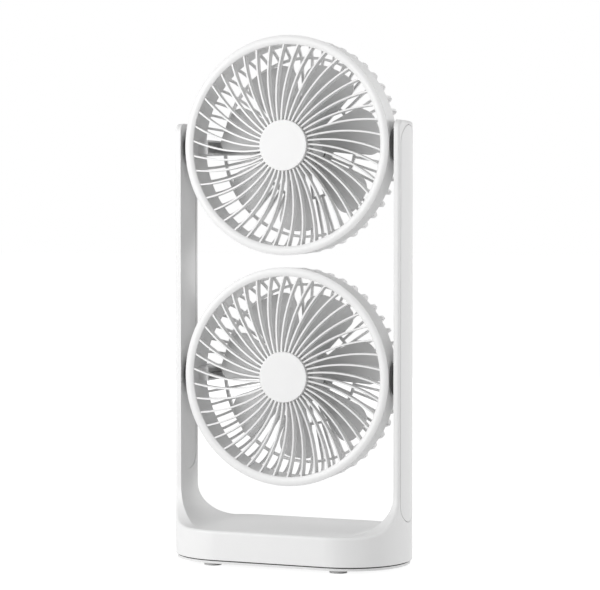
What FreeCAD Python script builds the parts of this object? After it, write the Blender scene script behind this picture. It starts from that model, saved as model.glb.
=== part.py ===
import FreeCAD
import Part
import math
import os
import re
import Sketcher

# Twin desk fan: two round heads tilt one above the other between the arms of a U frame.
# +Z is up, -Y is the front, the desk is z = 0 and the origin is under the middle of the base.
# A head is described once about its own pivot, where x = 0, y = 0, z = 0, and placed twice.

doc = FreeCAD.newDocument("TwinDeskFan")

# Driving dimensions in millimetres and degrees: name, value, meaning.
driving = [
    ("headRadius", 75, "outer radius of a bezel"),
    ("headSpacing", 8.1, "least distance between the two bezels"),
    ("lowerClear", 28.6, "base top to the lower bezel"),
    ("armGap", 3.5, "bezel to the inner face of an arm"),
    ("armThick", 6.2, "thickness of an arm at its middle"),
    ("armDepth", 27.8, "arm, front to back"),
    ("armCrown", 16.4, "upper pivot to the arm tops"),
    ("armRoll", 5, "roll of an arm's outer top edge"),
    ("armCorner", 6, "rounded top corners of an arm, seen from the side"),
    ("armWall", 1.8, "inner wall of an arm"),
    ("rootBlend", 25, "concave blend from the base to an arm"),
    ("edgeRound", 2, "round of the frame's outer edges"),
    ("insetDepth", 0.4, "shallow inset on an arm's inner face"),
    ("insetHalf", 11.5, "half width of that inset"),
    ("insetLift", 36, "base top to the inset's lower end"),
    ("baseDepth", 88, "base, front to back"),
    ("baseHeight", 20.2, "base shell, edge to top"),
    ("shellEdge", 5, "desk to the shell's lower edge"),
    ("shellWall", 2.2, "side wall of the base shell"),
    ("topWall", 2.5, "top wall of the base shell"),
    ("coverHalf", 12, "half width of an arm cover"),
    ("coverThick", 2.8, "arm cover at its middle"),
    ("coverSkin", 1.8, "arm cover over the wire groove"),
    ("coverRim", 3, "seat of a cover beside the wire groove"),
    ("coverLift", 6.8, "base top to the lower end of a cover"),
    ("coverDrop", 3.3, "arm top to the upper end of a cover"),
    ("seam", 0.35, "gap all round a cover"),
    ("ductWidth", 8, "half width of the wire duct down into the base"),
    ("ductDepth", 2.3, "depth of that duct"),
    ("plateThick", 2.6, "bottom plate"),
    ("plateInset", 1.2, "bottom plate inside the shell's outline"),
    ("plateGap", 0.9, "shadow gap between the shell and the bottom plate"),
    ("lipHeight", 2, "locating lip of the bottom plate"),
    ("lipWidth", 1.6, "width of that lip"),
    ("lipClear", 0.3, "lip to the shell wall"),
    ("footRadius", 6, "rubber foot"),
    ("footSink", 1, "depth of a foot in the bottom plate"),
    ("footAcross", 46, "middle of the base to a foot, along X"),
    ("footAlong", 32, "middle of the base to a foot, along Y"),
    ("bossRadius", 3.5, "screw boss in the base"),
    ("bossAcross", 62, "middle of the base to a boss, along X"),
    ("bossAlong", 20, "middle of the base to a boss, along Y"),
    ("screwRadius", 1.25, "base and motor screws"),
    ("screwHead", 2.4, "head radius of those screws"),
    ("headHigh", 1.4, "head height of every screw"),
    ("slotWidth", 0.6, "slot across a screw's head"),
    ("slotDepth", 0.7, "depth of that slot"),
    ("screwLength", 9, "base screw under its head"),
    ("screwFit", 0.03, "screw to its hole"),
    ("seatClear", 0.1, "loose fit of seated pieces"),
    ("batteryLong", 60, "battery along X"),
    ("batteryWide", 32, "battery along Y"),
    ("batteryHigh", 8, "battery height"),
    ("batteryBack", 2, "middle of the base to the battery's rear face"),
    ("leadGap", 6, "battery to the control board"),
    ("boardLong", 70, "control board along X"),
    ("boardWide", 31.5, "control board along Y"),
    ("boardThick", 1.6, "control board"),
    ("postHeight", 4, "posts under the control board"),
    ("postRadius", 2.4, "radius of a post"),
    ("postInset", 4, "post to the edges of the control board"),
    ("boardScrew", 1, "board screw"),
    ("boardScrewHead", 1.9, "head radius of a board screw"),
    ("boardScrewLength", 5, "board screw under its head"),
    ("headerLong", 12, "wire header along Y"),
    ("headerWide", 4, "wire header along X"),
    ("headerHigh", 4, "wire header height"),
    ("socketWide", 9, "charging socket"),
    ("socketHigh", 3.2, "charging socket"),
    ("socketLong", 8, "charging socket"),
    ("socketWall", 0.35, "metal shell of the socket"),
    ("socketRear", 1.4, "inner end wall of the socket"),
    ("tongueWide", 6, "contact tongue of the socket"),
    ("tongueThick", 0.7, "contact tongue of the socket"),
    ("tongueSink", 1.05, "tongue behind the socket's mouth"),
    ("socketSink", 0.6, "socket mouth behind the rear face"),
    ("socketClear", 0.3, "socket to its opening"),
    ("buttonAcross", 20, "middle of the base to the button"),
    ("buttonRadius", 4, "speed button"),
    ("buttonFlange", 5, "radius of the button's flange"),
    ("flangeThick", 1.3, "button flange"),
    ("buttonSink", 0.2, "button face behind the rear face"),
    ("buttonClear", 0.2, "button to its hole"),
    ("buttonRest", 0.3, "button flange to the rear wall"),
    ("switchWide", 6, "switch housing along X"),
    ("switchLong", 5, "switch housing along Y"),
    ("switchHigh", 8, "switch housing height"),
    ("switchGap", 1.7, "switch housing to the button"),
    ("plungerRadius", 1.5, "switch plunger"),
    ("plungerLength", 3.7, "switch plunger"),
    ("plungerRoom", 1.5, "free depth behind the plunger"),
    ("buttonRise", 5.4, "control board to the button's axis"),
    ("pinRadius", 3.5, "pivot pin"),
    ("pinBore", 2.2, "wire bore in a pivot pin"),
    ("pinFlange", 5.2, "flange radius of a pivot pin"),
    ("pinFlangeThick", 0.5, "flange of a pivot pin"),
    ("pinRun", 0.1, "pivot flange to the arm wall"),
    ("bushRadius", 5, "outer radius of a pivot bush"),
    ("pivotFit", 0.05, "pivot pin in its bush"),
    ("pressFit", 0.02, "pieces pressed together"),
    ("washerRadius", 8.4, "friction washer on the arm"),
    ("discRadius", 12, "disc of a friction washer over the side of the head"),
    ("discThick", 0.6, "that disc"),
    ("discClear", 0.15, "bezel to that disc"),
    ("washerThick", 1.3, "friction washer"),
    ("washerRun", 0.1, "friction washer to the arm"),
    ("hubRadius", 17.4, "front cap over the grille's hub"),
    ("hubFront", 18.2, "pivot to the face of the cap"),
    ("capThick", 1.5, "front cap"),
    ("capRound", 0.6, "edge of the front cap"),
    ("spigotThick", 1.4, "spigot of the cap"),
    ("spigotDepth", 2.5, "spigot of the cap"),
    ("hubWidth", 4.2, "ring of the grille's hub"),
    ("hubLap", 0.2, "cap past the hub ring"),
    ("hubDepth", 5.2, "depth of the grille's hub"),
    ("bezelWidth", 6, "bezel, in the front view"),
    ("bezelEdge", 13.7, "pivot to the bezel's edges"),
    ("bezelCurve", 6, "crown radius of the bezel"),
    ("bezelThick", 2.2, "face of the bezel"),
    ("bezelTaper", 0.4, "draft of the bezel's skirt"),
    ("skirtWall", 2, "skirt of the bezel"),
    ("skirtEdge", 8, "pivot to the skirt's rear edge"),
    ("ductLip", 1.5, "inner lip of the bezel"),
    ("ribDepth", 6, "front ribs at the bezel"),
    ("ribSink", 0.3, "front ribs behind the bezel's edge and the cap"),
    ("domeCurve", 400, "curve of the front ribs' faces"),
    ("frontRibs", 42, "number of front ribs"),
    ("ribWidth", 1.2, "width of a front rib"),
    ("ribCurve", 103.7, "radius of a front rib's arc"),
    ("ribSweep", 13.5, "turn of a front rib from hub to bezel"),
    ("ribPhase", 1.6, "angle of the first front rib at the hub"),
    ("ribEnd", 0.25, "bands at both ends of the front ribs"),
    ("cageDraft", 0.6, "cage inside the bezel's outline"),
    ("cageWall", 2.2, "outer wall of the cage"),
    ("cageBack", 28.3, "pivot to the back of the cage"),
    ("cageFloor", 2.2, "thickness of the cage's back"),
    ("cageCorner", 17, "rounded corner of the cage"),
    ("cageStep", 0.3, "cage to the bezel's skirt"),
    ("lapClear", 0.2, "locating lip of the cage in the bezel"),
    ("lapHeight", 3.5, "locating lip of the cage"),
    ("ductRear", 9, "pivot to the rear edge of the duct"),
    ("wallRear", 4.6, "pivot to where the outer wall parts into ribs"),
    ("ductWall", 1.6, "inner wall of the duct"),
    ("webThick", 2, "web between the duct and the outer wall"),
    ("rearRibs", 48, "number of rear ribs"),
    ("rearRibWidth", 1.6, "width of a rear rib"),
    ("outerBand", 62.3, "middle of the outer ring of the back"),
    ("innerBand", 35.7, "middle of the inner ring of the back"),
    ("bandWidth", 1.8, "rings of the back"),
    ("motorPlate", 20, "plate behind the motor"),
    ("stubRadius", 7, "pivot boss of the cage"),
    ("pinSeat", 70, "pivot pin's inner end, from the head's axis"),
    ("strutHalf", 5, "half width of the wire channel"),
    ("strutWall", 1.4, "walls of the wire channel"),
    ("strutReach", 7, "wire channel inside the duct"),
    ("strutDepth", 5.5, "wire channel across the back"),
    ("strutFront", 4, "pivot to the channel's front end"),
    ("strutSink", 0.4, "wire channel inside the cage's back"),
    ("motorBack", 10.5, "motor's middle behind the pivot"),
    ("motorFoot", 15, "flange of the motor base"),
    ("motorFootThick", 2, "flange of the motor base"),
    ("tubeRadius", 4.6, "bearing tube"),
    ("tubeBore", 3.2, "bore of the bearing tube"),
    ("tubeFront", 4.5, "pivot to the front of the bearing tube"),
    ("motorBoard", 13.5, "motor board"),
    ("motorBoardThick", 1.2, "motor board"),
    ("motorScrewCircle", 10, "motor screws"),
    ("motorScrews", 3, "number of motor screws"),
    ("motorScrewLength", 2.6, "motor screw under its head"),
    ("bearingLength", 3, "sleeve bearing"),
    ("shaftRadius", 1.5, "motor shaft"),
    ("shaftFit", 0.02, "shaft in its bearings"),
    ("shaftFront", 10, "pivot to the front of the shaft"),
    ("shaftRear", 12, "pivot to the rear of the shaft"),
    ("clipRadius", 2.7, "clip on the shaft"),
    ("clipThick", 0.5, "clip on the shaft"),
    ("clipRun", 0.1, "clip to the rear bearing"),
    ("rearBearing", 9.2, "pivot to the end of the rear bearing"),
    ("statorRadius", 11.6, "stator"),
    ("statorFront", 1, "pivot to the front of the stator"),
    ("statorRear", 9, "pivot to the rear of the stator"),
    ("statorTeeth", 9, "number of stator teeth"),
    ("statorYoke", 6.5, "stator ring"),
    ("toothWidth", 2.2, "stator tooth"),
    ("toothTip", 1.3, "tip of a stator tooth"),
    ("slotMouth", 1.6, "mouth of a stator slot"),
    ("coilThick", 1.1, "winding on a tooth"),
    ("coilRoot", 7.2, "inner end of a winding"),
    ("coilTop", 9.8, "outer end of a winding"),
    ("coilClear", 0.05, "winding to its tooth"),
    ("airGap", 0.6, "stator to the magnet"),
    ("magnetThick", 1.6, "ring magnet"),
    ("magnetFront", 3.5, "pivot to the front of the magnet"),
    ("yokeThick", 0.7, "steel cup of the rotor"),
    ("yokeFront", 5.6, "pivot to the front of the steel cup"),
    ("rotorRear", 9.9, "pivot to the rear of the rotor"),
    ("hubWall", 1.4, "side wall of the impeller hub"),
    ("hubFace", 2.5, "front wall of the impeller hub"),
    ("impellerFront", 11, "pivot to the front of the impeller"),
    ("hubBoss", 4, "shaft boss of the impeller"),
    ("hubRound", 2, "front edge of the impeller hub"),
    ("blades", 7, "number of blades"),
    ("bladePhase", 62.5, "angle of the first blade"),
    ("bladeTip", 58.6, "tip radius of the impeller"),
    ("rootChord", 12.5, "blade root, across"),
    ("rootRise", 15, "blade root, front to back"),
    ("tipChord", 38.5, "blade tip, across"),
    ("tipRise", 14.5, "blade tip, front to back"),
    ("bladeThick", 1.6, "blade, front to back"),
    ("bladeCamber", 60, "curve of a blade's section"),
    ("tipRound", 9, "corners of a blade's tip"),
    ("bladeSet", 1.2, "middle of a blade behind the motor's middle"),
    ("wireRadius", 0.6, "fan leads"),
    ("wireAside", 6.5, "lead beside the pivots"),
    ("wireRun", 1.45, "wall of an arm to the middle of a lead"),
    ("wireTurn", 2, "bend of a lead into its pivot pin"),
    ("wireBend", 4, "other tight bends of a lead"),
    ("wireSweep", 20, "gentle bends of a lead"),
    ("wireMeet", 1, "inside the arm face, where two leads meet"),
    ("wireLift", 2, "control board to the middle of a lead"),
    ("leadBend", 3, "bend of a motor lead at its pivot"),
    ("leadSweep", 6, "bend of a motor lead at the cage's corner"),
    ("leadIn", 4.3, "motor lead inside the duct"),
    ("leadSeat", 0.05, "motor lead to the motor base"),
    ("batteryLead", 22, "middle of the base to a battery lead"),
    ("leadPitch", 3, "between the battery leads"),
]

# Places that follow from the driving dimensions.
places = {
    "armInner": "headRadius + armGap",
    "halfWidth": "armInner + armThick",
    "endRadius": "baseDepth / 2",
    "endCentre": "halfWidth - endRadius",
    "baseTop": "shellEdge + baseHeight",
    "lowerPivot": "baseTop + lowerClear + headRadius",
    "upperPivot": "lowerPivot + 2 * headRadius + headSpacing",
    "armTop": "upperPivot + armCrown",
    "insetFace": "armInner + insetDepth",
    "channelFloor": "armInner + armWall",
    "coverSeat": "halfWidth - coverThick",
    "coverBottom": "baseTop + coverLift",
    "coverTop": "armTop - coverDrop",
    "grooveHalf": "coverHalf - coverRim",
    "shellRoof": "baseTop - topWall",
    "plateBottom": "shellEdge - plateThick",
    "boardUnder": "shellEdge + postHeight",
    "boardTop": "boardUnder + boardThick",
    "boardFront": "batteryBack + leadGap",
    "boardRear": "boardFront + boardWide",
    "socketMouth": "endRadius - socketSink",
    "socketAxis": "boardTop + socketHigh / 2",
    "buttonAxis": "boardTop + buttonRise",
    "rearWall": "endRadius - shellWall",
    "flangeBack": "rearWall - buttonRest - flangeThick",
    "switchFace": "flangeBack - switchGap",
    "stubFace": "insetFace - washerRun - washerThick",
    "discFace": "headRadius + discClear",
    "bezelInner": "headRadius - bezelWidth",
    "hubRing": "hubRadius - hubLap",
    "hubFloor": "hubFront - capThick",
    "hubHole": "hubRing - hubWidth",
    "skirtInner": "headRadius - bezelTaper - skirtWall",
    "ribRear": "bezelEdge - ribSink - ribDepth",
    "gapLow": "hubRing + ribEnd",
    "gapHigh": "bezelInner - ribEnd",
    "cageRadius": "headRadius - cageDraft",
    "cageStart": "skirtEdge - cageStep",
    "lapRadius": "skirtInner - lapClear",
    "ductInner": "bezelInner + cageStep",
    "lapInner": "bezelInner + ductLip + lapClear",
    "cageInside": "cageBack - cageFloor",
    "wallInner": "cageRadius - cageWall",
    "strutBack": "cageBack - strutSink",
    "cageTurn": "cageBack - cageCorner",
    "cornerAcross": "cageRadius - cageCorner",
    "strutSide": "ductInner + ductWall / 2",
    "channelSide": "ductInner - strutWall",
    "strutTurn": "cageTurn + sqrt((cageCorner - strutSink) ^ 2 - (strutSide - cornerAcross) ^ 2)",
    "channelTurn": "cageTurn + sqrt((cageCorner - cageFloor) ^ 2 - (channelSide - cornerAcross) ^ 2)",
    "motorRear": "cageInside - motorBack",
    "motorSeat": "motorRear - motorFootThick",
    "boardSeat": "motorSeat - motorBoardThick",
    "magnetInner": "statorRadius + airGap",
    "magnetOuter": "magnetInner + magnetThick",
    "yokeOuter": "magnetOuter + yokeThick",
    "impellerHub": "yokeOuter + pressFit + hubWall",
    "bladeStart": "impellerHub - hubWall / 2",
    "bladeStop": "bladeTip + bladeThick",
    "bladeFlare": "atan((tipChord - rootChord) / 2 / (bladeStop - bladeStart))",
    "tipReach": "bladeTip - tipRound",
    "tipLean": "(tipRound + bladeStart * sin(bladeFlare) - rootChord / 2 * cos(bladeFlare)) / tipReach",
    "tipTurn": "bladeFlare - asin(tipLean)",
    "tipSideX": "tipReach * cos(tipTurn) - tipRound * sin(bladeFlare)",
    "tipSideZ": "tipReach * sin(tipTurn) + tipRound * cos(bladeFlare)",
    "wireWall": "channelFloor + wireRun",
    "wireEnd": "armInner + wireMeet",
    "wireLevel": "boardTop + wireLift",
    "leadLine": "ductInner - leadIn",
    "leadLevel": "motorBack + motorSeat - wireRadius - leadSeat",
    "chordAcross": "bezelInner * cos(ribSweep) - hubRing",
    "chordDown": "bezelInner * sin(ribSweep)",
    "chord": "sqrt(chordAcross ^ 2 + chordDown ^ 2)",
    "bow": "sqrt(ribCurve ^ 2 - chord ^ 2 / 4)",
    "ribCentreX": "hubRing + chordAcross / 2 - bow * chordDown / chord",
    "ribCentreZ": "0 - chordDown / 2 - bow * chordAcross / chord",
}

sheet = doc.addObject("Spreadsheet::Sheet", "sizes")
for row, (alias, size, meaning) in enumerate(driving, start=1):
    sheet.set(f"A{row}", str(size))
    sheet.setAlias(f"A{row}", alias)
    sheet.set(f"B{row}", meaning)
doc.recompute()
aliases = {alias for alias, size, meaning in driving}
# How far a cut runs past the faces that it opens, and how near two places count as one.
beyond = 1
close = 0.01


def formula(text):
    # A size written with plain names, as an expression on the sheet.
    def expand(match):
        word = match.group(0)
        if word in aliases:
            return f"sizes.{word}"
        if word in places:
            return f"({formula(places[word])})"
        return word
    return re.sub(r"[A-Za-z]\w*", expand, str(text))


def value(text):
    return float(sheet.evalExpression(formula(text)))


def bind(item, **sizes):
    for name, text in sizes.items():
        item.setExpression(name, formula(text))


def place(item, x=0, y=0, z=0):
    for axis, text in (("x", x), ("y", y), ("z", z)):
        item.setExpression(f"Placement.Base.{axis}", formula(text))


def originFeature(body, role):
    return next(feature for feature in body.Origin.OriginFeatures if feature.Role == role)


def newBody(name):
    return doc.addObject("PartDesign::Body", name)


def sketchOn(body, plane, name, offset=None):
    # A sketch on one of the body's own planes, moved along the plane's normal by the offset.
    sketch = body.newObject("Sketcher::SketchObject", name)
    sketch.AttachmentSupport = [(originFeature(body, plane), "")]
    sketch.MapMode = "FlatFace"
    if offset is not None:
        sketch.setExpression("AttachmentOffset.Base.z", formula(offset))
    return sketch


def constrain(sketch, text, kind, *where):
    index = sketch.addConstraint(Sketcher.Constraint(kind, *where, value(text)))
    sketch.setExpression(f"Constraints[{index}]", formula(text))


def locate(sketch, edge, point, x, y):
    constrain(sketch, x, "DistanceX", -1, 1, edge, point)
    constrain(sketch, y, "DistanceY", -1, 1, edge, point)


def arcBetween(start, end, radius, turn):
    # The short arc from start to end: turn is 1 to the left of the way there and -1 to the right.
    along = end - start
    rise = math.sqrt(max(radius ** 2 - along.Length ** 2 / 4, 0))
    left = FreeCAD.Vector(-along.y, along.x, 0).normalize()
    centre = (start + end) / 2 + left * rise * turn
    first, last = (start, end) if turn > 0 else (end, start)
    angles = [math.atan2(point.y - centre.y, point.x - centre.x) for point in (first, last)]
    circle = Part.Circle(centre, FreeCAD.Vector(0, 0, 1), radius)
    return Part.ArcOfCircle(circle, angles[0], angles[1])


def outline(sketch, corners):
    # A closed outline. A corner is (x, y), or (x, y, radius, turn) where an arc leads to the next one.
    points = [FreeCAD.Vector(value(corner[0]), value(corner[1]), 0) for corner in corners]
    edges = []
    for number, corner in enumerate(corners):
        start, end = points[number], points[(number + 1) % len(points)]
        if len(corner) == 2:
            edges.append((sketch.addGeometry(Part.LineSegment(start, end)), 1, 2))
        else:
            turn = corner[3]
            arc = sketch.addGeometry(arcBetween(start, end, value(corner[2]), turn))
            edges.append((arc, 1, 2) if turn > 0 else (arc, 2, 1))
    for number, corner in enumerate(corners):
        edge, start, end = edges[number]
        before = edges[number - 1]
        sketch.addConstraint(Sketcher.Constraint("Coincident", before[0], before[2], edge, start))
        locate(sketch, edge, start, corner[0], corner[1])
        if len(corner) == 4:
            constrain(sketch, corner[2], "Radius", edge)


def circle(sketch, x, y, radius):
    centre = FreeCAD.Vector(value(x), value(y), 0)
    edge = sketch.addGeometry(Part.Circle(centre, FreeCAD.Vector(0, 0, 1), value(radius)))
    locate(sketch, edge, 3, x, y)
    constrain(sketch, radius, "Radius", edge)


def rectangle(left, low, right, high):
    return [(left, low), (right, low), (right, high), (left, high)]


def stadium(centre, radius):
    # An oblong along x with round ends.
    return [
        (f"0 - ({centre})", f"0 - ({radius})"),
        (centre, f"0 - ({radius})", radius, 1),
        (f"{centre} + {radius}", 0, radius, 1),
        (centre, radius),
        (f"0 - ({centre})", radius, radius, 1),
        (f"0 - ({centre}) - ({radius})", 0, radius, 1),
    ]


def strip(half, low, high):
    # An oblong along the sketch's second axis with round ends.
    return [
        (half, f"{low} + {half}"),
        (half, f"{high} - ({half})", half, 1),
        (0, high, half, 1),
        (f"0 - ({half})", f"{high} - ({half})"),
        (f"0 - ({half})", f"{low} + {half}", half, 1),
        (0, low, half, 1),
    ]


def pad(body, sketch, length, symmetric=False, backwards=False):
    feature = body.newObject("PartDesign::Pad", f"{sketch.Name}Pad")
    feature.Profile = sketch
    feature.Refine = False
    feature.SideType = "Symmetric" if symmetric else "One side"
    feature.Reversed = backwards
    bind(feature, Length=length)
    return feature


def pocket(body, sketch, length, symmetric=False, backwards=False):
    # A pocket takes material away, or the build stops here.
    doc.recompute()
    before = body.Shape.Volume
    feature = body.newObject("PartDesign::Pocket", f"{sketch.Name}Pocket")
    feature.Profile = sketch
    feature.Refine = False
    feature.SideType = "Symmetric" if symmetric else "One side"
    feature.Reversed = backwards
    bind(feature, Length=length)
    doc.recompute()
    if body.Shape.Volume >= before:
        raise RuntimeError(f"{feature.Name} cuts nothing")
    return feature


def spin(body, sketch, axis):
    feature = body.newObject("PartDesign::Revolution", f"{sketch.Name}Turn")
    feature.Profile = sketch
    feature.ReferenceAxis = (sketch, [axis])
    feature.Angle = 360
    return feature


def around(body, features, count, whole=False):
    # Copies of the features evenly round the body's Y axis.
    pattern = body.newObject("PartDesign::PolarPattern", f"{features[-1].Name}Round")
    pattern.Originals = features
    pattern.Refine = False
    pattern.TransformMode = "Whole shape" if whole else "Features"
    pattern.Axis = (originFeature(body, "Y_Axis"), [""])
    pattern.Angle = 360
    bind(pattern, Occurrences=count)
    body.Tip = pattern
    doc.recompute()
    return pattern


def mirrored(body, features):
    # The same features on the other side of the middle.
    mirror = body.newObject("PartDesign::Mirrored", f"{features[-1].Name}Mirror")
    mirror.Originals = features
    mirror.Refine = False
    mirror.MirrorPlane = (originFeature(body, "YZ_Plane"), [""])
    body.Tip = mirror
    doc.recompute()
    return mirror


def rounded(body, radius, chosen):
    # A fillet on the edges that the test chooses.
    doc.recompute()
    base = body.Tip
    names = [f"Edge{number}" for number, edge in enumerate(base.Shape.Edges, start=1) if chosen(edge)]
    feature = body.newObject("PartDesign::Fillet", f"{base.Name}Round")
    feature.Base = (base, names)
    bind(feature, Radius=radius)
    doc.recompute()
    return feature


def turned(name, axis, *profiles):
    # A body turned about X, Y or Z. Each profile's corners are (x, radius), (radius, y) or (radius, z).
    body = newBody(name)
    plane = "XZ_Plane" if axis == "z" else "XY_Plane"
    line = "H_Axis" if axis == "x" else "V_Axis"
    for number, corners in enumerate(profiles):
        sketch = sketchOn(body, plane, f"{name}Profile{number}")
        outline(sketch, corners)
        spin(body, sketch, line)
    return body


def block(name, x, y, z):
    # A box between two limits along each axis.
    box = doc.addObject("Part::Box", name)
    sides = {"Length": x, "Width": y, "Height": z}
    bind(box, **{side: f"{high} - ({low})" for side, (low, high) in sides.items()})
    place(box, x[0], y[0], z[0])
    return box


def rod(name, radius, length, axis, x=0, y=0, z=0):
    item = doc.addObject("Part::Cylinder", name)
    bind(item, Radius=radius, Height=length)
    turn = {"y": (FreeCAD.Vector(1, 0, 0), -90), "z": (FreeCAD.Vector(0, 0, 1), 0)}[axis]
    item.Placement.Rotation = FreeCAD.Rotation(*turn)
    place(item, x, y, z)
    return item


def cut(name, base, tools):
    for number, tool in enumerate(tools):
        item = doc.addObject("Part::Cut", f"{name}{number}")
        item.Base = base
        item.Tool = tool
        item.Refine = False
        base = item
    return base


def fuse(name, items):
    item = doc.addObject("Part::MultiFuse", name)
    item.Shapes = items
    item.Refine = False
    return item


def group(name, items):
    item = doc.addObject("Part::Compound", name)
    item.Links = items
    return item


def copyAt(name, source, x=0, y=0, z=0):
    link = doc.addObject("App::Link", name)
    link.LinkedObject = source
    place(link, x, y, z)
    return link


def everyCorner(name, source, across, along, middle=0, z=0):
    # Four copies at the corners of a rectangle about x = 0 and y = middle.
    corners = [(1, 1), (1, -1), (-1, -1), (-1, 1)]
    copies = []
    for number, (side, end) in enumerate(corners):
        y = f"{middle} + {end} * ({along})"
        copies.append(copyAt(f"{name}{number}", source, f"{side} * ({across})", y, z))
    return group(name, copies)


def wire(name, points, bends):
    # A round lead of straight runs joined by tangent arcs. Its volume is its section times its length.
    spots = [FreeCAD.Vector(*[value(part) for part in point]) for point in points]
    edges = []
    start = spots[0]
    for number, bend in enumerate(bends, start=1):
        corner = spots[number]
        arriving = (corner - spots[number - 1]).normalize()
        leaving = (spots[number + 1] - corner).normalize()
        turn = arriving.getAngle(leaving)
        reach = value(bend) * math.tan(turn / 2)
        entry = corner - arriving * reach
        exit = corner + leaving * reach
        inward = (leaving - arriving).normalize()
        middle = corner + inward * (value(bend) / math.cos(turn / 2) - value(bend))
        edges.append(Part.LineSegment(start, entry).toShape())
        edges.append(Part.Arc(entry, middle, exit).toShape())
        start = exit
    edges.append(Part.LineSegment(start, spots[-1]).toShape())
    path = Part.Wire(edges)
    radius = value("wireRadius")
    ring = Part.Wire(Part.makeCircle(radius, spots[0], spots[1] - spots[0]))
    lead = doc.addObject("Part::Feature", name)
    lead.Shape = path.makePipeShell([ring], True, True)
    share = lead.Shape.Volume / (math.pi * radius ** 2 * path.Length)
    radii = ", ".join(str(value(bend)) for bend in bends)
    print(f"{name}: {path.Length:.1f} mm long, bends of {radii} mm, "
          f"volume to section times length {share:.4f}")
    return lead


def cageGap(low, high, count):
    # The opening between two rear ribs, about the sketch's first axis.
    def corner(radius, side):
        angle = f"(180deg / ({count}) - asin(rearRibWidth / 2 / ({radius})))"
        return f"({radius}) * cos({angle})", f"{side} * ({radius}) * sin({angle})"
    return [
        (*corner(low, 1), low, -1),
        corner(low, -1),
        (*corner(high, -1), high, 1),
        corner(high, 1),
    ]


# The stand.

def makeFrame():
    # One moulding: an oblong base shell whose round ends rise into the two arms.
    body = newBody("frameBody")
    plan = sketchOn(body, "XY_Plane", "framePlan", "shellEdge")
    outline(plan, stadium("endCentre", "endRadius"))
    pad(body, plan, "armTop - shellEdge")
    opening = sketchOn(body, "XZ_Plane", "frameOpening")
    outline(opening, [
        ("0 - armInner", f"armTop + {beyond}"),
        ("0 - armInner", "baseTop + rootBlend", "rootBlend", 1),
        ("rootBlend - armInner", "baseTop"),
        ("armInner - rootBlend", "baseTop", "rootBlend", 1),
        ("armInner", "baseTop + rootBlend"),
        ("armInner", f"armTop + {beyond}"),
    ])
    pocket(body, opening, f"baseDepth + 2 * {beyond}", symmetric=True)
    sides = sketchOn(body, "YZ_Plane", "frameSides")
    for side in (1, -1):
        outline(sides, [
            (f"{side} * (armDepth / 2 - armCorner)", f"armTop + {beyond}"),
            (f"{side} * (armDepth / 2 - armCorner)", "armTop", "armCorner", -side),
            (f"{side} * armDepth / 2", "armTop - armCorner"),
            (f"{side} * armDepth / 2", "baseTop + rootBlend", "rootBlend", side),
            (f"{side} * (armDepth / 2 + rootBlend)", "baseTop"),
            (f"{side} * (endRadius + {beyond})", "baseTop"),
            (f"{side} * (endRadius + {beyond})", f"armTop + {beyond}"),
        ])
    pocket(body, sides, f"2 * (halfWidth + {beyond})", symmetric=True)
    makeRoll(body, "frameRoll")
    rounded(body, "edgeRound", isFrameEdge)
    hollow = sketchOn(body, "XY_Plane", "frameHollow", "shellEdge")
    outline(hollow, stadium("endCentre", "endRadius - shellWall"))
    pocket(body, hollow, "shellRoof - shellEdge", backwards=True)
    bosses = sketchOn(body, "XY_Plane", "frameBosses", "shellEdge")
    holes = sketchOn(body, "XY_Plane", "frameBossHoles", "shellEdge")
    for across in ("bossAcross", "0 - bossAcross"):
        for along in ("bossAlong", "0 - bossAlong"):
            circle(bosses, across, along, "bossRadius")
            circle(holes, across, along, "screwRadius + screwFit")
    pad(body, bosses, "shellRoof - shellEdge")
    pocket(body, holes, "screwLength", backwards=True)
    inset = sketchOn(body, "YZ_Plane", "frameInset")
    outline(inset, strip("insetHalf", "baseTop + insetLift", "coverTop"))
    pocket(body, inset, "2 * insetFace", symmetric=True)
    recess = sketchOn(body, "YZ_Plane", "frameRecess", "coverSeat")
    outline(recess, strip("coverHalf + seam", "coverBottom - seam", "coverTop + seam"))
    recessCut = pocket(body, recess, f"coverThick + {beyond}", backwards=True)
    channel = sketchOn(body, "YZ_Plane", "frameChannel", "channelFloor")
    outline(channel, strip("grooveHalf", "coverBottom + coverRim", "coverTop - coverRim"))
    channelCut = pocket(body, channel, f"halfWidth - channelFloor + {beyond}", backwards=True)
    duct = sketchOn(body, "XY_Plane", "frameDuct", "shellEdge")
    outline(duct, rectangle("channelFloor", "0 - ductWidth", "channelFloor + ductDepth", "ductWidth"))
    ductCut = pocket(body, duct, "coverBottom + coverHalf - shellEdge", backwards=True)
    mirrored(body, [recessCut, channelCut, ductCut])
    pivots = sketchOn(body, "YZ_Plane", "framePivots")
    for height in ("lowerPivot", "upperPivot"):
        circle(pivots, 0, height, "bushRadius + pressFit")
    pocket(body, pivots, f"2 * (halfWidth + {beyond})", symmetric=True)
    rear = sketchOn(body, "XZ_Plane", "frameRear", "0 - rearWall")
    outline(rear, rectangle("0 - socketWide / 2 - socketClear", "socketAxis - socketHigh / 2 - socketClear",
                            "socketWide / 2 + socketClear", "socketAxis + socketHigh / 2 + socketClear"))
    circle(rear, "buttonAcross", "buttonAxis", "buttonRadius + buttonClear")
    pocket(body, rear, f"shellWall + {beyond}")
    return body


def makeRoll(body, name):
    # The rolled outer top edges of the arms.
    roll = sketchOn(body, "XZ_Plane", name)
    for side in (1, -1):
        outline(roll, [
            (f"{side} * (halfWidth - armRoll)", "armTop", "armRoll", -side),
            (f"{side} * halfWidth", "armTop - armRoll"),
            (f"{side} * (halfWidth + {beyond})", "armTop - armRoll"),
            (f"{side} * (halfWidth + {beyond})", f"armTop + {beyond}"),
            (f"{side} * (halfWidth - armRoll)", f"armTop + {beyond}"),
        ])
    return pocket(body, roll, f"baseDepth + 2 * {beyond}", symmetric=True)


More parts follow.
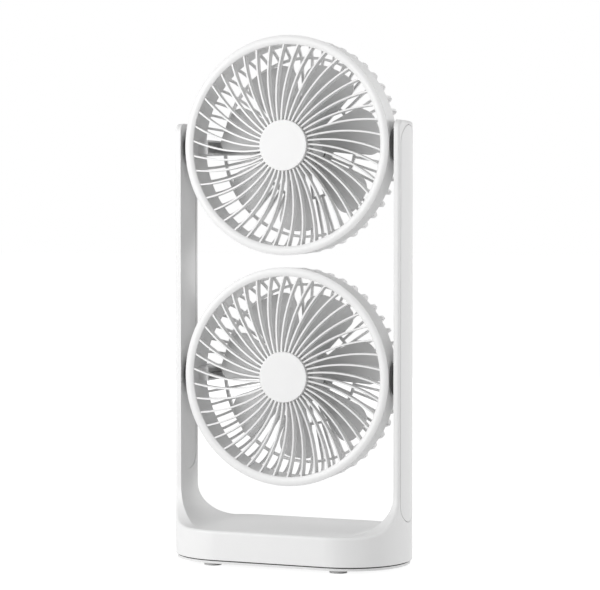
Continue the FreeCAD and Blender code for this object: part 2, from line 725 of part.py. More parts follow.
def isFrameEdge(edge):
    # The rim of the base top and the front and rear edges of the arms on the outline.
    middle = edge.valueAt((edge.FirstParameter + edge.LastParameter) / 2)
    aside = max(abs(middle.x) - value("endCentre"), 0)
    onOutline = abs(math.hypot(aside, middle.y) - value("endRadius")) < close
    upright = abs(edge.tangentAt(edge.FirstParameter).z) > 1 - close
    counted = not upright or middle.z > value("baseTop") + beyond
    above = middle.z > value("baseTop") - close and middle.z < value("armTop - armRoll")
    return onOutline and above and counted


def makeArmCover():
    # The right cover: its face carries on the outline of the base. A groove inside, open at its
    # lower end, leaves room for the leads.
    body = newBody("armCoverBody")
    plan = sketchOn(body, "YZ_Plane", "coverPlan", "coverSeat")
    outline(plan, strip("coverHalf", "coverBottom", "coverTop"))
    pad(body, plan, "coverThick")
    face = sketchOn(body, "XY_Plane", "coverFace", "coverBottom")
    reach = "sqrt(endRadius ^ 2 - (coverHalf + seam) ^ 2)"
    outline(face, [
        (f"endCentre + {reach}", "0 - coverHalf - seam", "endRadius", 1),
        (f"endCentre + {reach}", "coverHalf + seam"),
        (f"halfWidth + {beyond}", "coverHalf + seam"),
        (f"halfWidth + {beyond}", "0 - coverHalf - seam"),
    ])
    pocket(body, face, "coverTop - coverBottom", backwards=True)
    makeRoll(body, "coverRoll")
    groove = sketchOn(body, "YZ_Plane", "coverGroove", "coverSeat")
    outline(groove, strip("grooveHalf", "coverBottom - coverHalf", "coverTop - coverRim"))
    pocket(body, groove, "coverThick - coverSkin", backwards=True)
    return body


def makeBottomPlate():
    body = newBody("bottomPlateBody")
    plan = sketchOn(body, "XY_Plane", "platePlan", "plateBottom")
    outline(plan, stadium("endCentre", "endRadius - plateInset"))
    pad(body, plan, "plateThick - plateGap")
    neck = sketchOn(body, "XY_Plane", "plateNeck", "shellEdge - plateGap")
    outline(neck, stadium("endCentre", "endRadius - shellWall - lipClear"))
    pad(body, neck, "plateGap")
    lip = sketchOn(body, "XY_Plane", "plateLip", "shellEdge")
    outline(lip, stadium("endCentre", "endRadius - shellWall - lipClear"))
    outline(lip, stadium("endCentre", "endRadius - shellWall - lipClear - lipWidth"))
    pad(body, lip, "lipHeight")
    posts = sketchOn(body, "XY_Plane", "platePosts", "shellEdge")
    pilots = sketchOn(body, "XY_Plane", "platePilots", "boardUnder")
    for x in ("boardLong / 2 - postInset", "postInset - boardLong / 2"):
        for y in ("boardFront + postInset", "boardRear - postInset"):
            circle(posts, x, y, "postRadius")
            circle(pilots, x, y, "boardScrew + screwFit")
    pad(body, posts, "postHeight")
    pocket(body, pilots, "boardScrewLength - boardThick")
    feet = sketchOn(body, "XY_Plane", "plateFeet", "plateBottom")
    holes = sketchOn(body, "XY_Plane", "plateHoles", "plateBottom")
    heads = sketchOn(body, "XY_Plane", "plateHeads", "plateBottom")
    for side in (1, -1):
        for end in (1, -1):
            circle(feet, f"{side} * footAcross", f"{end} * footAlong", "footRadius + seatClear")
            circle(holes, f"{side} * bossAcross", f"{end} * bossAlong", "screwRadius + screwFit")
            circle(heads, f"{side} * bossAcross", f"{end} * bossAlong", "screwHead + seatClear")
    pocket(body, feet, "footSink", backwards=True)
    pocket(body, holes, "plateThick", backwards=True)
    pocket(body, heads, "headHigh", backwards=True)
    return body


def makeScrew(name, radius, head, length):
    # A pan head screw that points up, with its head below z = 0 and a slot across the head.
    body = turned(name, "z", [
        (0, "0 - headHigh"), (head, "0 - headHigh"), (head, 0), (radius, 0), (radius, length), (0, length),
    ])
    slot = sketchOn(body, "XY_Plane", f"{name}Slot", "0 - headHigh")
    outline(slot, rectangle(f"0 - {head}", "0 - slotWidth / 2", head, "slotWidth / 2"))
    pocket(body, slot, "slotDepth", backwards=True)
    return body


def makeControlBoard():
    # The board with its wire header at the left edge.
    plain = block("boardPlain", ("0 - boardLong / 2", "boardLong / 2"), ("boardFront", "boardRear"),
                  ("boardUnder", "boardTop"))
    hole = rod("boardHole", "boardScrew + screwFit", f"boardThick + 2 * {beyond}", "z")
    holes = everyCorner("boardHoles", hole, "boardLong / 2 - postInset", "boardWide / 2 - postInset",
                        "(boardFront + boardRear) / 2", f"boardUnder - {beyond}")
    drilled = cut("boardDrilled", plain, [holes])
    header = block("boardHeader", ("0 - boardLong / 2", "headerWide - boardLong / 2"),
                   ("boardFront + 2 * postInset", "boardFront + 2 * postInset + headerLong"),
                   ("boardTop", "boardTop + headerHigh"))
    return fuse("controlBoard", [drilled, header])


def makeSocket():
    # A charging socket: a thin metal shell, open at the rear, with a contact tongue.
    low, high = "socketMouth - socketLong", "socketMouth"
    shell = block("socketShell", ("0 - socketWide / 2", "socketWide / 2"), (low, high),
                  ("boardTop", "boardTop + socketHigh"))
    inside = block("socketInside", ("socketWall - socketWide / 2", "socketWide / 2 - socketWall"),
                   (f"{low} + socketRear", f"{high} + {beyond}"),
                   ("boardTop + socketWall", "boardTop + socketHigh - socketWall"))
    tongue = block("socketTongue", ("0 - tongueWide / 2", "tongueWide / 2"), (low, f"{high} - tongueSink"),
                   ("socketAxis - tongueThick / 2", "socketAxis + tongueThick / 2"))
    return fuse("chargingSocket", [cut("socketHollow", shell, [inside]), tongue])


def makeSwitch():
    housing = block("switchBlock", ("buttonAcross - switchWide / 2", "buttonAcross + switchWide / 2"),
                    ("switchFace - switchLong", "switchFace"), ("boardTop", "boardTop + switchHigh"))
    depth = "plungerLength - switchGap + plungerRoom"
    bore = rod("switchBore", "plungerRadius + seatClear", f"{depth} + {beyond}", "y",
               "buttonAcross", f"switchFace - ({depth})", "buttonAxis")
    return cut("switchHousing", housing, [bore])


def makeButton():
    cap = rod("buttonCap", "buttonRadius", "endRadius - buttonSink - flangeBack", "y",
              "buttonAcross", "flangeBack", "buttonAxis")
    flange = rod("buttonRim", "buttonFlange", "flangeThick", "y", "buttonAcross", "flangeBack", "buttonAxis")
    return fuse("button", [cap, flange])


def makeStand():
    frame = makeFrame()
    cover = makeArmCover()
    otherCover = doc.addObject("Part::Mirroring", "leftCover")
    otherCover.Source = cover
    otherCover.Normal = FreeCAD.Vector(1, 0, 0)
    foot = turned("foot", "z", rectangle(0, 0, "footRadius", "plateBottom + footSink"))
    plateScrew = makeScrew("plateScrew", "screwRadius", "screwHead", "screwLength")
    boardScrew = makeScrew("boardScrewBody", "boardScrew", "boardScrewHead", "boardScrewLength")
    hanging = doc.addObject("Part::Mirroring", "boardScrewDown")
    hanging.Source = boardScrew
    hanging.Normal = FreeCAD.Vector(0, 0, 1)
    bush = turned("bush", "x", rectangle("insetFace", "pinRadius + pivotFit", "channelFloor", "bushRadius"))
    otherBush = doc.addObject("Part::Mirroring", "leftBush")
    otherBush.Source = bush
    otherBush.Normal = FreeCAD.Vector(1, 0, 0)
    bushes = []
    for height in ("lowerPivot", "upperPivot"):
        bushes.append(copyAt(f"bushRight{height}", bush, z=height))
        bushes.append(copyAt(f"bushLeft{height}", otherBush, z=height))
    leads = []
    for number in (0, 1):
        leads.append(rod(f"batteryLead{number}", "wireRadius", "leadGap", "y",
                         f"batteryLead + {number} * leadPitch", "batteryBack", "boardUnder + boardThick / 2"))
    return {
        "u_frame": frame,
        "right_arm_cover": cover,
        "left_arm_cover": otherCover,
        "bottom_plate": makeBottomPlate(),
        "rubber_feet": everyCorner("feet", foot, "footAcross", "footAlong"),
        "bottom_screws": everyCorner("plateScrews", plateScrew, "bossAcross", "bossAlong",
                                     z="plateBottom + headHigh"),
        "pivot_bushes": group("bushes", bushes),
        "battery_pack": block("battery", ("0 - batteryLong / 2", "batteryLong / 2"),
                              ("batteryBack - batteryWide", "batteryBack"),
                              ("shellEdge", "shellEdge + batteryHigh")),
        "battery_leads": group("batteryLeads", leads),
        "control_board": makeControlBoard(),
        "board_screws": everyCorner("boardScrews", hanging, "boardLong / 2 - postInset",
                                    "boardWide / 2 - postInset", "(boardFront + boardRear) / 2", "boardTop"),
        "charging_socket": makeSocket(),
        "button_switch": makeSwitch(),
        "switch_plunger": rod("plunger", "plungerRadius", "plungerLength", "y",
                              "buttonAcross", "flangeBack - plungerLength", "buttonAxis"),
        "speed_button": makeButton(),
        "upper_fan_wire": makeArmWire("upperArmWire", "upperPivot", 1, 2),
        "lower_fan_wire": makeArmWire("lowerArmWire", "lowerPivot", -1, 1),
    }


def makeArmWire(name, height, side, terminal):
    # From the header across the base, up the left arm and into the pivot pin.
    header = f"boardFront + 2 * postInset + {terminal} * headerLong / 3"
    aside = f"{side} * wireAside"
    return wire(name, [
        ("0 - boardLong / 2", header, "wireLevel"),
        ("0 - bossAcross", aside, "wireLevel"),
        ("0 - wireWall", aside, "wireLevel"),
        ("0 - wireWall", aside, height),
        ("0 - wireWall", 0, height),
        ("0 - wireEnd", 0, height),
    ], ["wireSweep", "wireBend", "wireBend", "wireTurn"])


# One head.

def makeFrontGrille():
    # A domed disc in one piece with the bezel, opened between its curved ribs.
    body = turned("frontGrilleBody", "y", [
        ("hubHole", "0 - hubFloor"),
        ("hubRing", "0 - hubFloor", "domeCurve", -1),
        ("bezelInner", "ribSink - bezelEdge"),
        ("bezelInner", "0 - bezelEdge", "bezelCurve", 1),
        ("headRadius", "0 - bezelEdge"),
        ("headRadius - bezelTaper", "0 - skirtEdge"),
        ("skirtInner", "0 - skirtEdge"),
        ("skirtInner", "bezelThick - bezelEdge"),
        ("bezelInner + ductLip", "bezelThick - bezelEdge"),
        ("bezelInner + ductLip", "0 - ribRear"),
        ("bezelInner", "0 - ribRear"),
        ("hubRing", "hubDepth - hubFloor"),
        ("hubHole", "hubDepth - hubFloor"),
    ])
    gap = sketchOn(body, "XZ_Plane", "grilleGap")
    makeRibGap(gap)
    opening = pocket(body, gap, "3 * hubFront", symmetric=True)
    around(body, [opening], "frontRibs")
    return body


def makeRibGap(sketch):
    # Two sides on the arcs of neighbouring ribs, and two ends about the head's axis.
    pitch = value("360 / frontRibs")
    low, high = value("gapLow"), value("gapHigh")
    centre = FreeCAD.Vector(value("ribCentreX"), value("ribCentreZ"), 0)
    normal = FreeCAD.Vector(0, 0, 1)

    def about(angle):
        return FreeCAD.Rotation(normal, angle).multVec(centre)

    def meeting(middle, radius, reach):
        # Where a rib's arc crosses a circle about the head's axis.
        away = middle.Length
        along = (reach ** 2 - radius ** 2 + away ** 2) / (2 * away)
        aside = math.sqrt(reach ** 2 - along ** 2)
        toward = middle / away
        return toward * along + FreeCAD.Vector(-toward.y, toward.x, 0) * aside

    first = about(value("ribPhase"))
    second = about(value("ribPhase") + pitch)
    outer, inner = value("ribCurve + ribWidth / 2"), value("ribCurve - ribWidth / 2")
    corners = [meeting(first, outer, low), meeting(first, outer, high),
               meeting(second, inner, high), meeting(second, inner, low)]
    right = sketch.addGeometry(arcBetween(corners[0], corners[1], outer, -1))
    top = sketch.addGeometry(arcBetween(corners[1], corners[2], high, 1))
    left = sketch.addGeometry(arcBetween(corners[2], corners[3], inner, 1))
    bottom = sketch.addGeometry(arcBetween(corners[3], corners[0], low, -1))
    joins = [(right, 1, top, 1), (top, 2, left, 1), (left, 2, bottom, 2), (bottom, 1, right, 2)]
    for edge, point, other, end in joins:
        sketch.addConstraint(Sketcher.Constraint("Coincident", edge, point, other, end))
    for edge, angle, radius in ((right, "ribPhase", "ribCurve + ribWidth / 2"),
                                (left, "ribPhase + 360 / frontRibs", "ribCurve - ribWidth / 2")):
        locate(sketch, edge, 3, f"ribCentreX * cos({angle}) - ribCentreZ * sin({angle})",
               f"ribCentreX * sin({angle}) + ribCentreZ * cos({angle})")
        constrain(sketch, radius, "Radius", edge)
    for edge, radius in ((top, "gapHigh"), (bottom, "gapLow")):
        locate(sketch, edge, 3, 0, 0)
        constrain(sketch, radius, "Radius", edge)


def makeCap():
    # The plain disc over the grille's hub, with a spigot into it.
    spigot = "hubHole - seatClear"
    return turned("capBody", "y", [
        (0, "0 - hubFront"),
        ("hubRadius - capRound", "0 - hubFront", "capRound", 1),
        ("hubRadius", "capRound - hubFront"),
        ("hubRadius", "0 - hubFloor"),
        (spigot, "0 - hubFloor"),
        (spigot, "spigotDepth - hubFloor"),
        (f"{spigot} - spigotThick", "spigotDepth - hubFloor"),
        (f"{spigot} - spigotThick", "0 - hubFloor"),
        (0, "0 - hubFloor"),
    ])


def makeRearCage():
    # The double wall of the duct and the ribbed back, with the pivot bosses and the wire channel.
    body = turned("rearCageBody", "y", [
        ("lapInner", "0 - cageStart - lapHeight"),
        ("lapRadius", "0 - cageStart - lapHeight"),
        ("lapRadius", "0 - cageStart"),
        ("cageRadius", "0 - cageStart"),
        ("cageRadius", "cageTurn", "cageCorner", 1),
        ("cornerAcross", "cageBack"),
        (0, "cageBack"),
        (0, "cageInside"),
        ("cornerAcross", "cageInside", "cageCorner - cageFloor", -1),
        ("wallInner", "cageTurn"),
        ("wallInner", "webThick - cageStart"),
        ("ductInner + ductWall", "webThick - cageStart"),
        ("ductInner + ductWall", "ductRear"),
        ("ductInner", "ductRear"),
        ("ductInner", "cageStep - ribRear"),
        ("lapInner", "cageStep - ribRear"),
    ])
    screws = sketchOn(body, "XZ_Plane", "cageScrews", "0 - cageInside")
    heads = sketchOn(body, "XZ_Plane", "cageScrewHeads", "0 - cageBack")
    circle(screws, "motorScrewCircle", 0, "screwRadius + screwFit")
    circle(heads, "motorScrewCircle", 0, "screwHead + seatClear")
    drilled = pocket(body, screws, "cageFloor")
    sunk = pocket(body, heads, "headHigh", backwards=True)
    around(body, [drilled, sunk], "motorScrews")
    slots = sketchOn(body, "XZ_Plane", "cageSlots", "0 - ductRear")
    outline(slots, cageGap("outerBand + bandWidth / 2", f"headRadius + {beyond}", "rearRibs"))
    outline(slots, cageGap("innerBand + bandWidth / 2", "outerBand - bandWidth / 2", "rearRibs"))
    around(body, [pocket(body, slots, "cageBack")], "rearRibs")
    notches = sketchOn(body, "XZ_Plane", "cageNotches", "0 - wallRear")
    outline(notches, cageGap("wallInner", f"headRadius + {beyond}", "rearRibs"))
    around(body, [pocket(body, notches, "ductRear - wallRear")], "rearRibs")
    middle = sketchOn(body, "XZ_Plane", "cageMiddle", "0 - ductRear")
    outline(middle, cageGap("motorPlate", "innerBand - bandWidth / 2", "rearRibs / 2"))
    around(body, [pocket(body, middle, "cageBack")], "rearRibs / 2")
    return cut("rearCage", fuse("cageWhole", [body, makeCageMount()]), [makeCageBores()])


def makeCageMount():
    # The pivot bosses, and the wire channel as a solid bar.
    body = newBody("cageMountBody")
    stub = sketchOn(body, "YZ_Plane", "cageStub", "ductInner")
    circle(stub, 0, 0, "stubRadius")
    mirrored(body, [pad(body, stub, "stubFace - ductInner")])
    strut = sketchOn(body, "XY_Plane", "cageStrut")
    outline(strut, [
        ("0 - strutSide", "0 - strutFront"),
        ("strutReach - ductInner", "0 - strutFront"),
        ("strutReach - ductInner", "cageBack - strutDepth"),
        ("strutWall - motorPlate", "cageBack - strutDepth"),
        ("strutWall - motorPlate", "strutBack"),
        ("0 - cornerAcross", "strutBack", "cageCorner - strutSink", 1),
        ("0 - strutSide", "strutTurn"),
    ])
    pad(body, strut, "2 * strutHalf", symmetric=True)
    return body


def makeCageBores():
    # What is taken out of them: the channel's inside, the pin seats and the wire's way in.
    body = newBody("cageBoresBody")
    channel = sketchOn(body, "XY_Plane", "cageChannel")
    outline(channel, [
        ("0 - channelSide", "strutWall - strutFront"),
        (f"strutReach - ductInner + {beyond}", "strutWall - strutFront"),
        (f"strutReach - ductInner + {beyond}", f"cageBack - strutDepth - {beyond}"),
        (f"strutWall - motorPlate + {beyond}", f"cageBack - strutDepth - {beyond}"),
        (f"strutWall - motorPlate + {beyond}", "cageInside - strutWall"),
        ("0 - motorPlate", "cageInside"),
        ("0 - cornerAcross", "cageInside", "cageCorner - cageFloor", 1),
        ("0 - channelSide", "channelTurn"),
    ])
    pad(body, channel, "2 * (strutHalf - strutWall)", symmetric=True)
    passage = sketchOn(body, "YZ_Plane", "cagePassage", f"0 - pinSeat - {beyond}")
    circle(passage, 0, 0, "pinBore")
    pad(body, passage, f"pinSeat - ductInner + 2 * strutWall + {beyond}")
    bore = sketchOn(body, "YZ_Plane", "cageBore", "pinSeat")
    circle(bore, 0, 0, "pinRadius + pressFit")
    mirrored(body, [pad(body, bore, f"stubFace - pinSeat + {beyond}")])
    return body


def makeMotorBase():
    # The flange and the bearing tube, with the holes for the motor screws.
    body = turned("motorBaseBody", "y", [
        ("tubeBore", "0 - tubeFront"),
        ("tubeRadius", "0 - tubeFront"),
        ("tubeRadius", "motorSeat"),
        ("motorFoot", "motorSeat"),
        ("motorFoot", "motorRear"),
        ("tubeBore", "motorRear"),
    ])
    holes = sketchOn(body, "XZ_Plane", "motorHoles", "0 - motorSeat")
    circle(holes, "motorScrewCircle", 0, "screwRadius + screwFit")
    around(body, [pocket(body, holes, "motorFootThick")], "motorScrews")
    return body


def makeMotorScrews():
    # Screws through the back of the cage into the motor base.
    screw = makeScrew("motorScrew", "screwRadius", "screwHead", "motorScrewLength")
    count = round(value("motorScrews"))
    copies = []
    for number in range(count):
        link = doc.addObject("App::Link", f"motorScrew{number}")
        link.LinkedObject = screw
        link.Placement.Rotation = FreeCAD.Rotation(FreeCAD.Vector(1, 0, 0), 90)
        angle = f"({number} * 360deg / motorScrews)"
        place(link, f"motorScrewCircle * cos({angle})", "cageBack - motorBack - headHigh",
              f"motorScrewCircle * sin({angle})")
        copies.append(link)
    return group("motorScrewGroup", copies)


def makeStator():
    # The laminated core, opened between its teeth.
    body = turned("statorBody", "y",
                  rectangle("tubeRadius + pressFit", "0 - statorFront", "statorRadius", "statorRear"))
    slot = sketchOn(body, "XZ_Plane", "statorSlot")
    top = "statorRadius - toothTip"

    def corner(radius, side):
        angle = f"(180deg / statorTeeth - asin(toothWidth / 2 / ({radius})))"
        return f"({radius}) * cos({angle})", f"{side} * ({radius}) * sin({angle})"

    outline(slot, [
        corner("statorYoke", 1),
        corner("statorYoke", -1),
        corner(top, -1),
        (top, "0 - slotMouth / 2"),
        (f"statorRadius + {beyond}", "0 - slotMouth / 2"),
        (f"statorRadius + {beyond}", "slotMouth / 2"),
        (top, "slotMouth / 2"),
        corner(top, 1),
    ])
    around(body, [pocket(body, slot, "3 * statorRear", symmetric=True)], "statorTeeth")
    return body


def makeWindings():
    # One wound block round each tooth.
    room = "(toothWidth / 2 + coilClear)"
    outside = block("coilOutside", ("coilRoot", "coilTop"),
                    ("0 - statorFront - coilClear - coilThick", "statorRear + coilClear + coilThick"),
                    (f"0 - {room} - coilThick", f"{room} + coilThick"))
    inside = block("coilInside", (f"coilRoot - {beyond}", f"coilTop + {beyond}"),
                   ("0 - statorFront - coilClear", "statorRear + coilClear"), (f"0 - {room}", room))
    coil = cut("coil", outside, [inside])
    copies = []
    for number in range(round(value("statorTeeth"))):
        link = doc.addObject("App::Link", f"coil{number}")
        link.LinkedObject = coil
        link.Placement.Rotation.Axis = FreeCAD.Vector(0, 1, 0)
        link.setExpression("Placement.Rotation.Angle", formula(f"({number} + 0.5) * 360 / statorTeeth"))
        copies.append(link)
    return group("windings", copies)


def makeMotorLead():
    # On from the pivot pin along the wire channel to the motor board.
    return wire("motorLead", [
        ("0 - wireEnd", 0, 0),
        ("0 - leadLine", 0, 0),
        ("0 - leadLine", "leadLevel", 0),
        ("0 - motorBoard - leadSeat", "leadLevel", 0),
    ], ["leadBend", "leadSweep"])


def bothSides(name, source):
    other = doc.addObject("Part::Mirroring", f"{name}Left")
    other.Source = source
    other.Normal = FreeCAD.Vector(1, 0, 0)
    return group(name, [source, other])


def makeImpeller():
    # Seven broad blades with rounded tips round a cup that takes the rotor.
    body = newBody("impellerBody")
    sections = []
    for name, radius, chord, rise in (("bladeRoot", "bladeStart", "rootChord", "rootRise"),
                                      ("bladeEnd", "bladeStop", "tipChord", "tipRise")):
        sketch = sketchOn(body, "YZ_Plane", name, radius)
        front, rear = f"bladeSet - ({rise}) / 2", f"bladeSet + ({rise}) / 2"
        outline(sketch, [
            (f"{front} + bladeThick / 2", f"({chord}) / 2", "bladeCamber", -1),
            (f"{rear} + bladeThick / 2", f"0 - ({chord}) / 2"),
            (f"{rear} - bladeThick / 2", f"0 - ({chord}) / 2", "bladeCamber", 1),
            (f"{front} - bladeThick / 2", f"({chord}) / 2"),
        ])
        sections.append(sketch)
    blade = body.newObject("PartDesign::AdditiveLoft", "bladeLoft")
    blade.Profile = sections[0]
    blade.Sections = sections[1:]
    blade.Ruled = True
    doc.recompute()
    trim = sketchOn(body, "XZ_Plane", "bladeTrim")
    outline(trim, [
        ("bladeTip * cos(tipTurn)", "0 - bladeTip * sin(tipTurn)", "bladeTip", 1),
        ("bladeTip * cos(tipTurn)", "bladeTip * sin(tipTurn)", "tipRound", 1),
        ("tipSideX", "tipSideZ"),
        ("tipSideX", "tipChord"),
        ("bladeTip + tipChord", "tipChord"),
        ("bladeTip + tipChord", "0 - tipChord"),
        ("tipSideX", "0 - tipChord"),
        ("tipSideX", "0 - tipSideZ", "tipRound", 1),
    ])
    trimmed = pocket(body, trim, "4 * rootRise", symmetric=True)
    around(body, [trimmed], "blades", whole=True)
    cup = sketchOn(body, "XY_Plane", "impellerCup")
    inside = "yokeOuter + pressFit"
    outline(cup, [
        (0, "0 - impellerFront"),
        ("impellerHub - hubRound", "0 - impellerFront", "hubRound", 1),
        ("impellerHub", "hubRound - impellerFront"),
        ("impellerHub", "rotorRear"),
        (inside, "rotorRear"),
        (inside, "hubFace - impellerFront"),
        ("hubBoss", "hubFace - impellerFront"),
        ("hubBoss", "0 - yokeFront - seatClear"),
        ("shaftRadius + pressFit", "0 - yokeFront - seatClear"),
        ("shaftRadius + pressFit", "0 - shaftFront"),
        (0, "0 - shaftFront"),
    ])
    body.Tip = spin(body, cup, "V_Axis")
    return body


def makeHead():
    bearings = []
    for name, end in (("frontBearing", "bearingLength - tubeFront"), ("backBearing", "rearBearing")):
        bearings.append(turned(name, "y", rectangle("shaftRadius + shaftFit", f"{end} - bearingLength",
                                                    "tubeBore - pressFit", end)))
    pin = turned("pin", "x", [
        ("pinSeat", "pinBore"),
        ("channelFloor + pinRun + pinFlangeThick", "pinBore"),
        ("channelFloor + pinRun + pinFlangeThick", "pinFlange"),
        ("channelFloor + pinRun", "pinFlange"),
        ("channelFloor + pinRun", "pinRadius"),
        ("pinSeat", "pinRadius"),
    ])
    washer = turned("washer", "x", [
        ("stubFace", "pinRadius + seatClear"),
        ("stubFace + washerThick", "pinRadius + seatClear"),
        ("stubFace + washerThick", "washerRadius"),
        ("discFace + discThick", "washerRadius"),
        ("discFace + discThick", "discRadius"),
        ("discFace", "discRadius"),
        ("discFace", "stubRadius + seatClear"),
        ("stubFace", "stubRadius + seatClear"),
    ])
    return {
        "front_grille": makeFrontGrille(),
        "hub_cap": makeCap(),
        "rear_cage": makeRearCage(),
        "pivot_pins": bothSides("pins", pin),
        "friction_washers": bothSides("washers", washer),
        "motor_base": makeMotorBase(),
        "motor_screws": makeMotorScrews(),
        "motor_board": turned("motorBoardBody", "y", rectangle("tubeRadius + seatClear", "boardSeat",
                                                               "motorBoard", "motorSeat")),
        "motor_leads": makeMotorLead(),
        "motor_bearings": group("bearings", bearings),
        "stator_core": makeStator(),
        "stator_windings": makeWindings(),
        "impeller": makeImpeller(),
        "rotor_yoke": turned("yokeBody", "y", [
            ("shaftRadius + pressFit", "0 - yokeFront"),
            ("yokeOuter", "0 - yokeFront"),
            ("yokeOuter", "rotorRear"),
            ("magnetOuter", "rotorRear"),
            ("magnetOuter", "yokeThick - yokeFront"),
            ("shaftRadius + pressFit", "yokeThick - yokeFront"),
        ]),
        "rotor_magnet": turned("magnetBody", "y", rectangle("magnetInner", "0 - magnetFront",
                                                            "magnetOuter - pressFit", "rotorRear")),
        "motor_shaft": turned("shaftBody", "y", rectangle(0, "0 - shaftFront", "shaftRadius", "shaftRear")),
        "shaft_clip": turned("clipBody", "y", rectangle("shaftRadius + pressFit", "rearBearing + clipRun",
                                                        "clipRadius", "rearBearing + clipRun + clipThick")),
    }


# The motor's own pieces are made about its middle and stand behind the pivot; these don't.
headShell = {"front_grille", "hub_cap", "rear_cage", "pivot_pins", "friction_washers", "motor_leads"}
pieces = dict(makeStand())
for name, source in makeHead().items():
    for level, pivot in (("upper", "upperPivot"), ("lower", "lowerPivot")):
        link = copyAt(f"{level}_{name}", source, y=0 if name in headShell else "motorBack", z=pivot)
        if name == "impeller":
            link.Placement.Rotation.Axis = FreeCAD.Vector(0, -1, 0)
            link.setExpression("Placement.Rotation.Angle", formula("bladePhase"))
        pieces[f"{level}_{name}"] = link
doc.recompute()

for item in doc.Objects:
    if "Invalid" in item.State or "Error" in item.State:
        raise RuntimeError(f"{item.Name} failed: {item.State}")
shapes = {}
for name, item in pieces.items():
    item.Label = name
    shape = Part.getShape(item)
    if shape.isNull() or not shape.isValid() or not shape.Solids:
        raise RuntimeError(f"{name} has no sound shape")
    shapes[name] = shape
os.makedirs("parts", exist_ok=True)
for name, shape in shapes.items():
    shape.exportStep(f"parts/{name}.step")
print(f"{len(shapes)} pieces written")
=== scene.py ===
import bpy
import math
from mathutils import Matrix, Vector

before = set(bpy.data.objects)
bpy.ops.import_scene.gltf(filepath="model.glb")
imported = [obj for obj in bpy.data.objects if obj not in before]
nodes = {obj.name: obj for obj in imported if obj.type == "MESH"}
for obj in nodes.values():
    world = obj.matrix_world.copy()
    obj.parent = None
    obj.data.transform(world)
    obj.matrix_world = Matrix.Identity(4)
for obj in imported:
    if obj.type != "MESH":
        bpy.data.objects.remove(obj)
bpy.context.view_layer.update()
levels = ("upper", "lower")

# camera, fitted to the photograph's 600 x 590 frame
cameraSetup = {
    "place": (0.5484, -1.3487, 0.2312),
    "yaw": 21.93,        # degrees to the right of the front
    "down": 1.84,        # degrees below the horizon
    "lens": 126.8,
    "sensor": 36,
}


def makeCamera(setup):
    data = bpy.data.cameras.new("photoCamera")
    data.lens = setup["lens"]
    data.sensor_width = setup["sensor"]
    camera = bpy.data.objects.new("photoCamera", data)
    camera.location = setup["place"]
    camera.rotation_euler = (math.radians(90 - setup["down"]), 0, math.radians(setup["yaw"]))
    bpy.context.scene.collection.objects.link(camera)
    bpy.context.scene.camera = camera


makeCamera(cameraSetup)
bpy.context.scene.view_settings.view_transform = "Standard"
print("camera set")

# node helpers

def addNode(tree, kind, place, **values):
    node = tree.nodes.new(kind)
    node.location = place
    for name, value in values.items():
        setattr(node, name, value)
    return node


def startMaterial(name):
    material = bpy.data.materials.new(name)
    material.use_nodes = True
    tree = material.node_tree
    return material, tree, tree.nodes["Principled BSDF"]


def addNoise(tree, place, setup):
    noise = addNode(tree, "ShaderNodeTexNoise", place)
    noise.inputs["Scale"].default_value = setup["scale"]
    noise.inputs["Detail"].default_value = setup["detail"]
    return noise


def startGroup(name, inputs, outputs):
    group = bpy.data.node_groups.new(name, "ShaderNodeTree")
    for socket, kind, value in inputs:
        made = group.interface.new_socket(socket, in_out="INPUT", socket_type=kind)
        made.default_value = value
    for socket, kind in outputs:
        group.interface.new_socket(socket, in_out="OUTPUT", socket_type=kind)
    given = addNode(group, "NodeGroupInput", (-900, 0))
    result = addNode(group, "NodeGroupOutput", (600, 0))
    return group, given, result


# shared effects

skinNoise = {
    "drift": {"scale": 14, "detail": 3},
    "patches": {"scale": 90, "detail": 4},
    "grain": {"scale": 1, "detail": 2},      # its scale is linked to the finish's own
    "middle": 0.5,
}


def makeMouldedSkin():
    # slow drift of tone, patches of polish and the fine spark grain of a moulded face
    group, given, result = startGroup(
        "mouldedSkin",
        [("Colour", "NodeSocketColor", (0.8, 0.8, 0.8, 1)),
         ("Shade", "NodeSocketColor", (0.7, 0.7, 0.7, 1)),
         ("Roughness", "NodeSocketFloat", 0.45), ("Polish", "NodeSocketFloat", 0.06),
         ("Grain Scale", "NodeSocketFloat", 2600)],
        [("Colour", "NodeSocketColor"), ("Roughness", "NodeSocketFloat"), ("Height", "NodeSocketFloat")])
    link = group.links.new
    where = addNode(group, "ShaderNodeTexCoord", (-900, -300))
    drift = addNoise(group, (-600, 200), skinNoise["drift"])
    patches = addNoise(group, (-600, -50), skinNoise["patches"])
    grain = addNoise(group, (-600, -350), skinNoise["grain"])
    mix = addNode(group, "ShaderNodeMix", (-200, 200), data_type="RGBA")
    centred = addNode(group, "ShaderNodeMath", (-350, -50), operation="SUBTRACT")
    centred.inputs[1].default_value = skinNoise["middle"]
    rough = addNode(group, "ShaderNodeMath", (-100, -50), operation="MULTIPLY_ADD")
    for noise in (drift, patches, grain):
        link(where.outputs["Object"], noise.inputs["Vector"])
    link(given.outputs["Grain Scale"], grain.inputs["Scale"])
    link(drift.outputs["Fac"], mix.inputs["Factor"])
    link(given.outputs["Colour"], mix.inputs["A"])
    link(given.outputs["Shade"], mix.inputs["B"])
    link(patches.outputs["Fac"], centred.inputs[0])
    link(centred.outputs[0], rough.inputs[0])
    link(given.outputs["Polish"], rough.inputs[1])
    link(given.outputs["Roughness"], rough.inputs[2])
    link(mix.outputs["Result"], result.inputs["Colour"])
    link(rough.outputs[0], result.inputs["Roughness"])
    link(grain.outputs["Fac"], result.inputs["Height"])
    return group


metalNoise = {
    "streaks": {"scale": 1, "detail": 3},    # the stretch of each metal sets their size
    "stains": {"scale": 160, "detail": 4},
}


